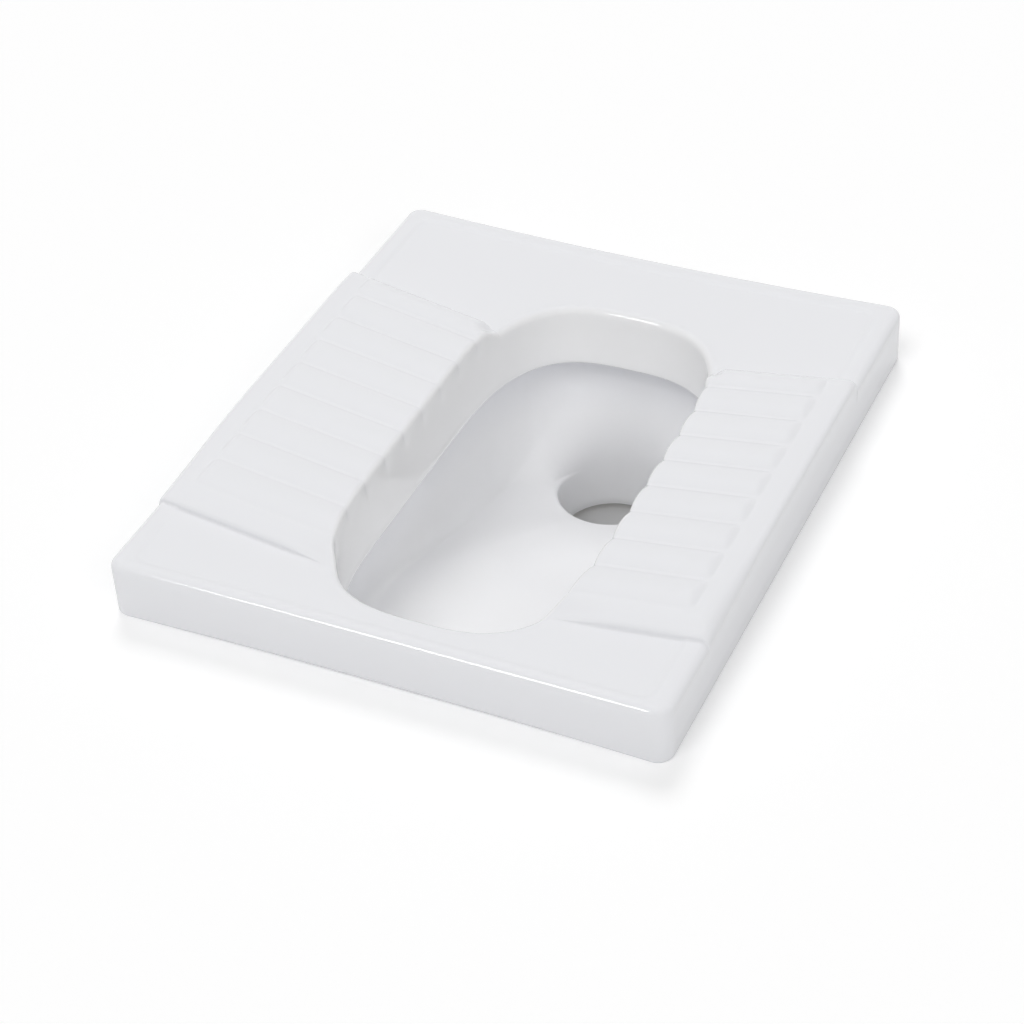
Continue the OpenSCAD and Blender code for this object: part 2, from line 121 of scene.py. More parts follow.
halfW = deckShape["width"] / 2
halfL = deckShape["length"] / 2
treadLen = treadShape["rear"] + treadShape["front"]
lastValley = treadShape["firstValley"] + treadShape["ribPitch"] * (treadShape["valleys"] - 1)
rearSlant = math.tan(math.radians(treadShape["slantRear"]))
slantGain = math.tan(math.radians(treadShape["slantFront"])) - rearSlant
plateUnder = deckShape["height"] - deckShape["plate"]
leftTread, rightTread, rearPlate, frontPlate = range(4)


def ease(t):
    # 3t^2 - 2t^3 between 0 and 1
    t = np.clip(t, 0, 1)
    return t * t * (3 - 2 * t)


def ring(points, z):
    # one closed ring of a grid: points in plan, with a height each or one for all
    return np.column_stack([points, np.broadcast_to(z, len(points))])


def rearBow(x):
    # parabola, full in the middle and nothing at the sides
    return deckShape["rearBow"] * (1 - (x / halfW) ** 2)


def rowY(x, u):
    # slanted row u mm in front of the treads' rear end; its slant changes evenly towards the front
    return treadShape["rear"] - u - (rearSlant + slantGain * u / treadLen) * (halfW - np.abs(x))


def rowOf(x, y):
    # the same relation solved for u
    w = halfW - np.abs(x)
    return (treadShape["rear"] - y - rearSlant * w) / (1 + slantGain * w / treadLen)


def startRow(rear):
    # the row at which a plate's border path starts and ends
    return -gridSteps["rowMargin"] if rear else treadLen + gridSteps["rowMargin"]


def wellHalf(y):
    # half width of the well at y: superellipse ends on straight sides
    n = wellShape["squareness"]
    back = np.clip((y - wellShape["rearBase"]) / wellShape["rearReach"], 0, 1)
    fore = np.clip((wellShape["frontBase"] - y) / wellShape["frontReach"], 0, 1)
    t = np.maximum(back, fore)
    return wellShape["halfWidth"] * (1 - t ** n) ** (1 / n)


def wellEnd(rear):
    # reach and base of the well's rear or front end
    reach = np.where(rear, wellShape["rearReach"], wellShape["frontReach"])
    return reach, np.where(rear, wellShape["rearBase"], wellShape["frontBase"])


def endNormal(x, y, reach):
    # outward normal of |x/a|^n + |y/b|^n = 1: the slope of its left side, scaled to length 1
    n, a = wellShape["squareness"], wellShape["halfWidth"]
    nx = np.sign(x) * np.abs(x / a) ** (n - 1) / a
    ny = np.sign(y) * np.abs(y / reach) ** (n - 1) / reach
    return np.stack([nx, ny], -1) / np.hypot(nx, ny)[..., None]


def endArc(phi, rear):
    # point and outward normal of a superellipse end at polar angle phi
    n = wellShape["squareness"]
    reach, base = wellEnd(rear)
    c, s = np.cos(phi), np.sin(phi)
    r = (np.abs(c / wellShape["halfWidth"]) ** n + np.abs(s / reach) ** n) ** (-1 / n)
    x, y = r * c, r * s
    return np.stack([x + wellShape["shift"], y + base], -1), endNormal(x, y, reach)


def edgeNormal(points):
    # outward normal of the well's outline: that of its ends, and square to its straight sides
    y = points[:, 1]
    rear, front = y > wellShape["rearBase"], y < wellShape["frontBase"]
    reach, base = wellEnd(rear)
    return endNormal(points[:, 0] - wellShape["shift"], np.where(rear | front, y - base, 0.0), reach)


def rowEnds(side, u, rounds=60):
    # where slanted rows meet the well's outline, found by repeating x = shift + side * wellHalf(y)
    x = np.full_like(u, wellShape["shift"] + side * wellShape["halfWidth"])
    for _ in range(rounds):
        x = 0.5 * x + 0.5 * (wellShape["shift"] + side * wellHalf(rowY(x, u)))
    return np.stack([x, rowY(x, u)], -1)


def rowMarks():
    # rows across a tread, close together at its two steps and even along the ribs
    step = np.array([-gridSteps["rowMargin"], -4.5, -2.5, -2.2, -1.7, -1.1, -0.5, -0.15,
                     0, 0.12, 0.4, 0.85, 1.5, 2.4, 3.6, 5.0])
    ribs = np.linspace(gridSteps["ribsFrom"], treadLen - gridSteps["ribsFrom"], gridSteps["ribRows"])
    return np.concatenate([step, ribs, treadLen - step[::-1]])


def borderPath(t, inset, rear):
    # the deck's edge drawn in by inset, from one side's row to the other: t 0-1 side, 1-2 corner,
    # 2-3 end edge, 3-4 corner, 4-5 side; near the edge the corners are true offsets, and further in
    # they have the border line's own radius
    d = deckShape
    edge = np.maximum(1.0, d["cornerRadius"] - inset)
    r = edge + (d["borderCorner"] - edge) * ease((inset - d["cornerEaseFrom"]) / d["cornerEaseOver"])
    cx = halfW - inset - r
    cy = halfL - inset - r
    sign = 1.0 if rear else -1.0
    x0 = halfW - inset
    y0 = sign * rowY(x0, startRow(rear))
    along = [np.clip(t - k, 0, 1) for k in range(5)]
    near = np.radians(90 * along[1])
    far = np.radians(90 + 90 * along[3])
    stretch = [t < 1, t < 2, t <= 3, t <= 4]
    x = np.select(stretch, [x0, cx + r * np.cos(near), cx * (1 - 2 * along[2]), r * np.cos(far) - cx],
                  default=-x0)
    y = np.select(stretch, [y0 + (cy - y0) * along[0], cy + r * np.sin(near), cy + r,
                            cy + r * np.sin(far)], default=cy + (y0 - cy) * along[4])
    if rear:
        # the bow grows from nothing at the sides and is full along the rear edge
        y = y - rearBow(x) * ease((y - y0) / (cy - y0))
    return np.stack([x, sign * y], -1)


def pathMarks(rear):
    # marks along the border path, as many on each stretch as its length asks for
    side = gridSteps["rearSide"] if rear else gridSteps["frontSide"]
    counts = (side, gridSteps["corner"], gridSteps["endEdge"], gridSteps["corner"], side)
    return np.concatenate([np.linspace(k, k + 1, n, endpoint=False) for k, n in enumerate(counts)])[1:]


def treadSpokes(side, u):
    # spokes along the rows of one tread
    points = rowEnds(side, u)
    return u, points, edgeNormal(points)


def plateSpokes(rear):
    # spokes of a plate: the angles at which the deck's edge is seen from the base of the well's end,
    # stretched evenly to the angles that this end takes up between the two treads
    sign = 1.0 if rear else -1.0
    t = pathMarks(rear) if rear else pathMarks(rear)[::-1]
    centre = np.array([wellShape["shift"], wellEnd(rear)[1]])

    def angle(points):
        return np.arctan2(*(points - centre).T[::-1]) * sign

    seen = angle(borderPath(t, np.zeros_like(t), rear))
    seenFrom, seenTo = angle(borderPath(np.array([0.0, 5.0]), np.zeros(2), rear))
    rowPair = [rowEnds(side, np.array([startRow(rear)])) for side in (1.0, -1.0)]
    endFrom, endTo = angle(np.vstack(rowPair))
    phi = endFrom + (seen - seenFrom) / (seenTo - seenFrom) * (endTo - endFrom)
    return t, *endArc(phi * sign, rear)


def stations():
    # the casting's spokes, once round the well: the part that each crosses, its mark on that part,
    # its point on the well's edge and the outward normal there
    rows = rowMarks()
    runs = ((rearPlate, plateSpokes(True)), (leftTread, treadSpokes(-1.0, rows)),
            (frontPlate, plateSpokes(False)), (rightTread, treadSpokes(1.0, rows[::-1])))
    st = {"kind": np.concatenate([np.full(len(run[0]), part) for part, run in runs])}
    for k, label in enumerate(("mark", "inner", "normal")):
        st[label] = np.concatenate([run[k] for _, run in runs])
    return st


def borderPoint(st, inset):
    # the point of each spoke that lies inset mm inside the deck's edge
    kind, mark = st["kind"], st["mark"]
    inset = np.broadcast_to(inset, kind.shape).astype(float)
    out = np.zeros((len(kind), 2))
    for part, side in ((leftTread, -1.0), (rightTread, 1.0)):
        on = kind == part
        x = side * (halfW - inset[on])
        out[on] = np.column_stack([x, rowY(x, mark[on])])
    for part in (rearPlate, frontPlate):
        on = kind == part
        out[on] = borderPath(mark[on], inset[on], part == rearPlate)
    return out


def wellPoint(st, distance):
    # the point of each spoke that lies this far outside the well's edge
    return st["inner"] + st["spoke"] * (distance / st["cosine"])[:, None]


def stepUp(t):
    # rise of a tread's end: a hollow fillet up to t = 0 and a quarter ellipse after it
    f, r = treadShape["footFillet"], treadShape["edgeRadius"]
    h = treadShape["height"] + deckShape["borderStep"]
    low = (f - np.sqrt(np.clip(f * f - np.clip(t + f, 0, f) ** 2, 0, None))) / h
    q = np.clip(1 - t / r, 0, 1)
    high = f / h + (1 - f / h) * np.sqrt(1 - q * q)
    return np.where(t < 0, low, high)


def nearWell(x, y, reach, full=3.0):
    # 1 up to full mm from the well's edge, 0 from reach mm outside it on
    return ease((reach - np.abs(x - wellShape["shift"]) + wellHalf(y)) / (reach - full))


def treadEnds(u, x, y):
    # rise of both ends: the rear one is a step that becomes a soft ramp beside the well, the front
    # one is part step and part ramp, and all ramp beside the well
    s = treadShape
    w = treadLen - u
    rear = stepUp(u)
    rear = rear + (ease((u + s["rearLead"]) / s["ramp"]) - rear) * nearWell(x, y, s["rearMelt"])
    crisp = s["frontStep"] * (1 - nearWell(x, y, s["frontMelt"]))
    front = crisp * stepUp(s["frontHaste"] * w) + (1 - crisp) * ease((w + s["frontLead"]) / s["ramp"])
    return rear * front


def ribShare(u, v):
    # height of the ribs, 1 on a crest: 1 - |2 phase|^2.1 across, their outer ends square with
    # rounded corners
    s = treadShape
    first = s["firstValley"]
    width = first - s["firstRib"]
    phase = ((u - first) / s["ribPitch"]) % 1 - 0.5
    phase = np.where(u < first, (u - first + width / 2) / width, phase)
    over = np.clip(1 + (s["strip"] - v) / s["ribEnd"], 0, 2)
    share = 1 - np.clip((np.abs(2 * phase) ** 4 + over ** 4) ** 0.25, 0, 1) ** s["ribPower"]
    return np.where((u > lastValley) | (u < s["firstRib"]), 0, share)


def notchDepth(u, ends, inside=60.0):
    # depth of the notches in the well's edge: full in a valley, nothing on a crest or past the first
    # and last valley; the ribs are read so far inside the deck's side, where they are at their full
    s = treadShape
    mask = ease((u - s["firstValley"] + s["notchReach"]) / s["notchFade"])
    mask = mask * ease((lastValley + s["notchReach"] - u) / s["notchFade"])
    return s["notchDepth"] * (1 - ribShare(u, inside)) * ends * mask


def softRadius(u):
    # the treads' outer edge gets rounder over their front part
    s = treadShape
    share = ease((u / treadLen - s["softFrom"]) / (1 - s["softFrom"]))
    return s["edgeRadius"] + (s["softRadius"] - s["edgeRadius"]) * share


def footRadius(st, straight=0.5):
    # the front skirt's foot is rounded off more towards its middle: 1 - t^2 from corner to corner
    points = borderPoint(st, 0.0)
    t = np.clip(points[:, 0] / (halfW - deckShape["cornerRadius"]), -1, 1)
    gain = np.where((st["kind"] == frontPlate) & (points[:, 1] < straight - halfL), 1 - t * t, 0.0)
    return deckShape["footRadius"] + (deckShape["frontFootRadius"] - deckShape["footRadius"]) * gain


def platformInset(x, y):
    # distance inside the border line, its corners rounded
    r = deckShape["borderCorner"]
    a = halfW - np.abs(x) - deckShape["borderSide"]
    b = np.minimum(halfL - rearBow(x) - y - deckShape["borderRear"],
                   halfL + y - deckShape["borderFront"])
    corner = r - np.hypot(np.clip(r - a, 0, None), np.clip(r - b, 0, None))
    return np.where((a < r) & (b < r), corner, np.minimum(a, b))


def topHeight(x, y):
    # plate, border step, treads and ribs in one field of height
    u = rowOf(x, y)
    v = halfW - np.abs(x)
    ends = treadEnds(u, x, y)
    sunk = ease(platformInset(x, y) / deckShape["borderSoftness"] + 0.5)
    plate = deckShape["height"] - deckShape["borderStep"] * sunk * (1 - ends)
    rise = treadShape["height"] * ends
    ribs = treadShape["ribHeight"] * ribShare(u, v) * ends
    return plate + rise + ribs


def smoothAround(values, width):
    # moving average along a closed run
    kernel = np.hanning(width + 2)[1:-1]
    kernel /= kernel.sum()
    n = len(values)
    padded = np.concatenate([values[-width:], values, values[:width]])
    out = np.stack([np.convolve(padded[:, k], kernel, "same") for k in range(values.shape[1])], -1)
    return out[width:width + n]


def measureSpokes(st):
    # adds what the rings need at each spoke: the radii of nose and outer edge, which change with the
    # tread's rise, the notch, the border line's inset, and the spoke's direction at the well, which
    # is the row's at the treads and the normal elsewhere
    inner, normal = st["inner"], st["normal"]
    tread = (st["kind"] == leftTread) | (st["kind"] == rightTread)
    u = np.where(tread, st["mark"], 0.0)
    ends = np.where(tread, treadEnds(u, inner[:, 0], inner[:, 1]), 0.0)
    st["noseR"] = wellShape["noseRadius"] * (1 - ends) + treadShape["innerRadius"] * ends
    st["edgeR"] = deckShape["edgeRadius"] * (1 - ends) + softRadius(u) * ends
    st["notch"] = notchDepth(u, ends)

    t = st["mark"]
    ahead = np.where(st["kind"] == frontPlate, ease(t - 1) * (1 - ease(t - 3)), 0.0)
    beside = deckShape["borderSide"]
    st["border"] = beside + (deckShape["borderFront"] - beside) * ahead

    row = borderPoint(st, st["border"] + gridSteps["spokeAim"]) - inner
    row /= np.hypot(*row.T)[:, None]
    spoke = smoothAround(np.where(tread[:, None], row, normal), gridSteps["spokeSmoothing"])
    spoke /= np.hypot(*spoke.T)[:, None]
    st["spoke"] = spoke
    st["cosine"] = np.clip((spoke * normal).sum(1), gridSteps["leastCosine"], 1)


def wallRings(st):
    # lip and well wall from the lip's back up to the nose; the ribs' valleys notch its upper part
    inner, normal, noseR, notch = st["inner"], st["normal"], st["noseR"], st["notch"]
    lean, low = wellShape["wallLean"], -wellShape["lipDrop"]
    zNose = topHeight(*wellPoint(st, noseR).T) - noseR
    lipCorner = ((3.0, 0.0), (1.5, 0.4), (0.4, 1.5), (0.0, 3.2))         # out from the wall, up
    wallSteps = (0.12, 0.26, 0.42, 0.58, 0.70, 0.79, 0.85, 0.90, 0.94, 0.97)
    rings = [ring(inner + normal * (wellShape["lipWidth"] - lean - d), low) for d in (0.0, 3.0)]
    rings += [ring(inner + normal * (d - lean), low + z) for d, z in lipCorner]
    foot = low + lipCorner[-1][1]
    for f in wallSteps:
        cut = notch * ease((f - treadShape["notchFrom"]) / (1 - treadShape["notchFrom"]))
        rings.append(ring(inner + normal * (cut - lean * (1 - f))[:, None], foot + (zNose - foot) * f))
    for a in np.radians([0, 12, 24, 36, 48, 60, 70, 80]):
        plan = wellPoint(st, noseR * (1 - math.cos(a))) + normal * (notch * math.cos(a))[:, None]
        rings.append(ring(plan, zNose + noseR * math.sin(a)))
    return rings


def topRings(st):
    # the top from the nose to the outer edge's start: a few rings beside the well, straight across
    # the plates and treads, and close together over the border line
    wellSteps = (0.0, 1.2, 2.6, 4.2)
    acrossSteps = np.concatenate([np.linspace(0, 0.22, 12, endpoint=False)[1:],
                                  np.linspace(0.22, 0.74, 9, endpoint=False),
                                  np.linspace(0.74, 1.0, 13)[:-1]])
    borderSteps = (5.2, 3.4, 2.6, 1.9, 1.2, 0.6, 0.0, -0.6, -1.2, -1.9, -2.6)
    leastGap, gapGain = 0.6, 0.35                              # between the last rings and the edge
    plan = [wellPoint(st, st["noseR"] + d) for d in wellSteps]
    start, end = plan[-1], borderPoint(st, st["border"] + borderSteps[0])
    plan += [start + (end - start) * f for f in acrossSteps]
    for d in borderSteps:
        least = st["edgeR"] + leastGap + gapGain * (d - borderSteps[-1])
        plan.append(borderPoint(st, np.maximum(st["border"] + d, least)))
    return [ring(p, topHeight(*p.T)) for p in plan]


def skirtRings(st):
    # outer edge, a quarter circle under the height that the top has there, the skirt and its foot
    r, foot = st["edgeR"], footRadius(st)
    zSkirt = topHeight(*borderPoint(st, r).T) - r
    rings = [ring(borderPoint(st, r * (1 - math.cos(a))), zSkirt + r * math.sin(a))
             for a in np.radians([78, 66, 54, 42, 30, 20, 10, 0])]
    rings += [ring(borderPoint(st, 0.0), foot + (zSkirt - foot) * f) for f in (0.66, 0.33)]
    rings += [ring(borderPoint(st, foot * (1 - math.cos(a))), foot * (1 - math.sin(a)))
              for a in np.radians([0, 15, 30, 45, 60, 75, 90])]
    return rings


def undersideRings(st):
    # the skirt's inside, its fillet, the plate's underside and the rim's back
    w, fillet, back = deckShape["skirt"], deckShape["innerFillet"], wellShape["backWidth"]
    inner, normal = st["inner"], st["normal"]
    lipBack = wellShape["lipWidth"] - wellShape["wallLean"]
    lipTop = wellShape["lipHeight"] - wellShape["lipDrop"]
    rings = [ring(borderPoint(st, w - d), z) for d, z in ((1.0, 0.0), (0.3, 0.3), (0.0, 1.0))]
    rings += [ring(borderPoint(st, w + fillet * (1 - math.cos(a))),
                   plateUnder - fillet + fillet * math.sin(a)) for a in np.radians([0, 30, 60, 90])]
    start, end = borderPoint(st, w + fillet), inner + normal * back
    rings += [ring(start + (end - start) * f, plateUnder) for f in (0.25, 0.5, 0.75, 1.0)]
    rings += [ring(inner + normal * (back + (lipBack - back) * f),
                   plateUnder + (lipTop - plateUnder) * f) for f in (0.33, 0.66, 1.0)]
    return rings


def castingRings():
    # one closed skin of deck, treads and rim; slot 1 is the bare china inside and underneath
    st = stations()
    measureSpokes(st)
    glazed = wallRings(st) + topRings(st) + skirtRings(st)
    bare = undersideRings(st)
    slots = np.zeros(len(glazed) + len(bare), int)
    slots[len(glazed) - 1:] = 1
    return np.stack(glazed + bare), slots


def gridMesh(name, rings, materials, slots):
    # rings x points grid in mm, closed both ways, made into one object with quads
    m, n = rings.shape[:2]
    i, j = np.meshgrid(np.arange(m), np.arange(n), indexing="ij")
    a = i * n + j
    b = i * n + (j + 1) % n
    c = ((i + 1) % m) * n + (j + 1) % n
    d = ((i + 1) % m) * n + j
    quads = np.stack([a, b, c, d], -1).reshape(-1, 4)
    mesh = bpy.data.meshes.new(name)
    mesh.vertices.add(m * n)
    mesh.vertices.foreach_set("co", (rings.reshape(-1, 3) / 1000).astype(np.float32).ravel())
    mesh.loops.add(quads.size)
    mesh.loops.foreach_set("vertex_index", quads.ravel().astype(np.int32))
    mesh.polygons.add(len(quads))
    mesh.polygons.foreach_set("loop_start", (np.arange(len(quads)) * 4).astype(np.int32))
    mesh.polygons.foreach_set("use_smooth", np.ones(len(quads), bool))
    for material in materials:
        mesh.materials.append(material)
    mesh.polygons.foreach_set("material_index", np.repeat(slots, n).astype(np.int32))
    mesh.update(calc_edges=True)
    mesh.validate()
    piece = bpy.data.objects.new(name, mesh)
    bpy.context.collection.objects.link(piece)
    return piece


def flatMesh(name, verts, faces, material):
    # a plain object from points in mm and faces
    mesh = bpy.data.meshes.new(name)
    mesh.from_pydata([(x / 1000, y / 1000, z / 1000) for x, y, z in verts], [], faces)
    mesh.materials.append(material)
    mesh.update()
    piece = bpy.data.objects.new(name, mesh)
    bpy.context.collection.objects.link(piece)
    return piece


def cutArch(piece, material):
    # opening for the flush pipe in the rear skirt: a half circle on straight sides, cut right through
    arch = {"width": 54.0, "centreZ": 10.0, "from": 237.0, "to": 262.0, "below": -6.0,
            "arcPoints": 41, "sharpFrom": 50}
    r, cx, cz = arch["width"] / 2, wellShape["shift"], arch["centreZ"]
    a = np.radians(np.linspace(0, 180, arch["arcPoints"]))
    arc = np.column_stack([cx + r * np.cos(a), cz + r * np.sin(a)])
    outline = np.vstack([[cx + r, arch["below"]], arc, [cx - r, arch["below"]]])
    n = len(outline)
    verts = np.vstack([np.insert(outline, 1, y, axis=1) for y in (arch["from"], arch["to"])])
    k = np.arange(n)
    faces = np.column_stack([k, k + n, (k + 1) % n + n, (k + 1) % n]).tolist()
    faces += [k.tolist(), (k[::-1] + n).tolist()]
    cutter = flatMesh("archCutter", verts.tolist(), faces, material)
    cutter.data.materials.append(material)
    # the cut's faces take the second slot, as the bare china does on the casting
    cutter.data.polygons.foreach_set("material_index", np.ones(len(faces), np.int32))
    cut = piece.modifiers.new("arch", "BOOLEAN")
    cut.operation = "DIFFERENCE"
    cut.solver = "EXACT"
    cut.object = cutter
    graph = bpy.context.evaluated_depsgraph_get()
    opened = bpy.data.meshes.new_from_object(piece.evaluated_get(graph))
    piece.modifiers.clear()
    piece.data = opened
    opened.name = piece.name
    opened.set_sharp_from_angle(angle=math.radians(arch["sharpFrom"]))
    bpy.data.objects.remove(cutter)


bowlShape = {
    "wall": 9.0,
    "depth": 102.0,
    "back": 16.0,             # how far the bowl reaches out under the rim
    "backFront": 7.0,         # the same at the front end
    "backFrom": 14.0,         # distance from the front end at which the one turns into the other
    "backOver": 80.0,
    "bend": 56.0,             # width of the bend between wall and floor
    "bendLimit": 0.9,
    "slope": 0.62,
    "slopeFrom": 10.0,        # a floor longer than this slopes, and more so the longer it is
    "slopeOver": 270.0,
    "plungeFrom": 66.0,       # where less floor than this is left, the wall starts to plunge
    "plungeOver": 44.0,
    "plungeDrop": 9.0,
    "outletX": 14.0,
    "outletY": 126.0,
    "outletRadius": 43.5,
    "outletLip": 4.0,
    "lipReach": 1.6,          # the floor ends so many lips from the bore
    "mouthSink": 1.6,
    "mouthDepth": 16.0,
    "hornRadius": 53.0,
    "hornLength": 42.0,
    "collar": 7.2,
    "shoulderRadius": 61.0,
    "flange": 7.0,
    "points": 260,            # of the grid, round the bowl, down its wall and along its floor
    "wallPoints": 30,
    "floorPoints": 28,
}


def ovalRun(count):
    # the well's outline as one closed run of evenly spaced points, and the normals there: end arcs
    # joined by straight sides, walked by length
    turn = np.linspace(0, math.pi, 900)
    arcs = [endArc(turn, True), endArc(-turn[::-1], False)]
    points, normals = (np.concatenate([arc[k] for arc in arcs]) for k in (0, 1))
    points, normals = np.vstack([points, points[:1]]), np.vstack([normals, normals[:1]])
    length = np.concatenate([[0], np.cumsum(np.hypot(*np.diff(points, axis=0).T))])
    want = np.linspace(0, length[-1], count, endpoint=False)
    at = np.stack([np.interp(want, length, points[:, k]) for k in (0, 1)], -1)
    normal = np.stack([np.interp(want, length, normals[:, k]) for k in (0, 1)], -1)
    return at, normal / np.hypot(*normal.T)[:, None]


def bowlRings():
    # inner face from the rim down to the outlet, its mouth and bore; then, in bare china, the
    # horn's outside, the flange and the bowl's outer face back up
    b = bowlShape
    outline, normal = ovalRun(b["points"])
    centre = np.array([b["outletX"], b["outletY"]])
    angle = np.arctan2(*(outline - centre).T[::-1])
    away = np.stack([np.cos(angle), np.sin(angle)], -1)
    ahead = outline[:, 1] - (wellShape["frontBase"] - wellShape["frontReach"])
    back = ease((ahead - b["backFrom"]) / b["backOver"])
    back = b["backFront"] + (b["back"] - b["backFront"]) * back
    top, bottom = -wellShape["lipDrop"], -b["depth"]
    base = bottom - b["wall"]
    end, under = base - b["hornLength"], base - b["flange"]

    def side(v, stand, endR, z1, plunge):
        # the wall falls in a quarter ellipse as wide as the bend, the floor slopes on from there;
        # where there is hardly any floor it plunges into the outlet instead
        p = outline + normal * stand[:, None]
        q = centre + away * endR
        run = np.hypot(*(q - p).T)
        share = 1 / (run / b["bend"] + 1 / b["bendLimit"])
        h = share * (1 - math.cos(math.pi * v)) if v < 0.5 else share + (1 - share) * (2 * v - 1)
        fall = math.sin(math.pi * v) if v < 0.5 else 1.0
        k = b["slope"] * ease((run - b["slopeFrom"]) / b["slopeOver"])
        h = h + (ease(v) - h) * plunge
        fall = fall + (v - fall) * plunge
        return ring(p + (q - p) * h[:, None], top + (z1 - top) * ((1 - k) * fall + k * h))

    def circle(r, z):
        # a round ring about the outlet, its points in the directions of the outline's
        return ring(centre + away * np.broadcast_to(r, len(away))[:, None], z)

    gap = np.hypot(*(outline + normal * back[:, None] - centre).T) - b["outletRadius"]
    plunge = ease((b["plungeFrom"] - gap) / b["plungeOver"])
    floorEnd = bottom - b["plungeDrop"] * plunge
    lip = b["outletLip"] * (1 - plunge) + 0.02
    marks = np.concatenate([np.linspace(0, 0.5, b["wallPoints"]),
                            np.linspace(0.5, 1, b["floorPoints"])[1:]])
    glazed = [side(v, back, (b["outletRadius"] + lip * b["lipReach"])[:, None], floorEnd + 0.2, plunge)
              for v in marks]
    glazed += [circle(b["outletRadius"] + lip * (1 - math.sin(a)),
                      floorEnd - lip * (1 - math.cos(a)) - b["mouthSink"] * a * plunge)
               for a in np.radians([8, 22, 38, 54, 70, 90])]
    glazed += [circle(b["outletRadius"], z) for z in np.linspace(bottom - b["mouthDepth"], end + 1, 6)]

    bore, horn, shoulder, collar = b["outletRadius"], b["hornRadius"], b["shoulderRadius"], b["collar"]
    hornFoot = [(bore + 0.6, end + 0.2), (bore + 2, end), (horn - 1.5, end), (horn - 0.4, end + 0.5),
                (horn, end + 1.6)]
    hornSide = [(horn, z) for z in np.linspace(end + 8, under - collar - 0.4, 4)]
    flange = [(horn + 1, under - collar), (horn + 1, under - 0.6), (horn + 1.6, under),
              (shoulder - 1, under), (shoulder, under + 1), (shoulder, base - 1.5)]
    bare = [circle(r, z) for r, z in hornFoot + hornSide + flange]
    bare += [side(v, back + b["wall"], shoulder + 0.4, base, 0.0) for v in marks[::-2]]
    slots = np.zeros(len(glazed) + len(bare), int)
    slots[len(glazed):] = 1
    return np.stack(glazed + bare), slots


def addNode(tree, kind, values=None, **settings):
    # a node with its settings, then the values of its inputs
    node = tree.nodes.new(kind)
    for label, value in settings.items():
        setattr(node, label, value)
    for label, value in (values or {}).items():
        node.inputs[label].default_value = value
    return node


def wire(tree, *links):
    # each link is a node with the name or number of its output, and a node with that of its input
    for source, output, target, entry in links:
        tree.links.new(source.outputs[output], target.inputs[entry])


def newGroup(name, inputs, outputs):
    # an empty shader group with its named sockets
    tree = bpy.data.node_groups.new(name, "ShaderNodeTree")
    for label, kind, value in inputs:
        socket = tree.interface.new_socket(label, in_out="INPUT", socket_type=kind)
        socket.default_value = value
    for label, kind in outputs:
        tree.interface.new_socket(label, in_out="OUTPUT", socket_type=kind)
    return tree, tree.nodes.new("NodeGroupInput"), tree.nodes.new("NodeGroupOutput")


def rippleGroup():
    # the glaze's faint unevenness: two soft noises added as one height
    tree, gin, gout = newGroup(
        "glazeRipple",
        [("Size", "NodeSocketFloat", 40.0), ("Fine", "NodeSocketFloat", 260.0),
         ("Share", "NodeSocketFloat", 0.2)],
        [("Height", "NodeSocketFloat")])
    coord = addNode(tree, "ShaderNodeTexCoord")
    broad = addNode(tree, "ShaderNodeTexNoise", {"Detail": 1.0})
    fine = addNode(tree, "ShaderNodeTexNoise", {"Detail": 2.0})
    both = addNode(tree, "ShaderNodeMath", operation="MULTIPLY_ADD")
    wire(tree, (coord, "Object", broad, "Vector"), (coord, "Object", fine, "Vector"),
         (gin, "Size", broad, "Scale"), (gin, "Fine", fine, "Scale"),
         (fine, "Fac", both, 0), (gin, "Share", both, 1), (broad, "Fac", both, 2),
         (both, 0, gout, "Height"))
    return tree


def toneGroup():
    # slow drift between two tones over the piece
    tree, gin, gout = newGroup(
        "toneDrift",
        [("Light", "NodeSocketColor", (1, 1, 1, 1)), ("Deep", "NodeSocketColor", (0.9, 0.9, 0.9, 1)),
         ("Size", "NodeSocketFloat", 9.0)],
        [("Color", "NodeSocketColor")])
    coord = addNode(tree, "ShaderNodeTexCoord")
    noise = addNode(tree, "ShaderNodeTexNoise", {"Detail": 3.0})
    ramp = addNode(tree, "ShaderNodeMapRange", {"From Min": 0.35, "From Max": 0.65})
    tones = addNode(tree, "ShaderNodeMix", data_type="RGBA")
    wire(tree, (coord, "Object", noise, "Vector"), (gin, "Size", noise, "Scale"),
         (noise, "Fac", ramp, "Value"), (ramp, "Result", tones, "Factor"),
         (gin, "Light", tones, "A"), (gin, "Deep", tones, "B"), (tones, "Result", gout, "Color"))
    return tree


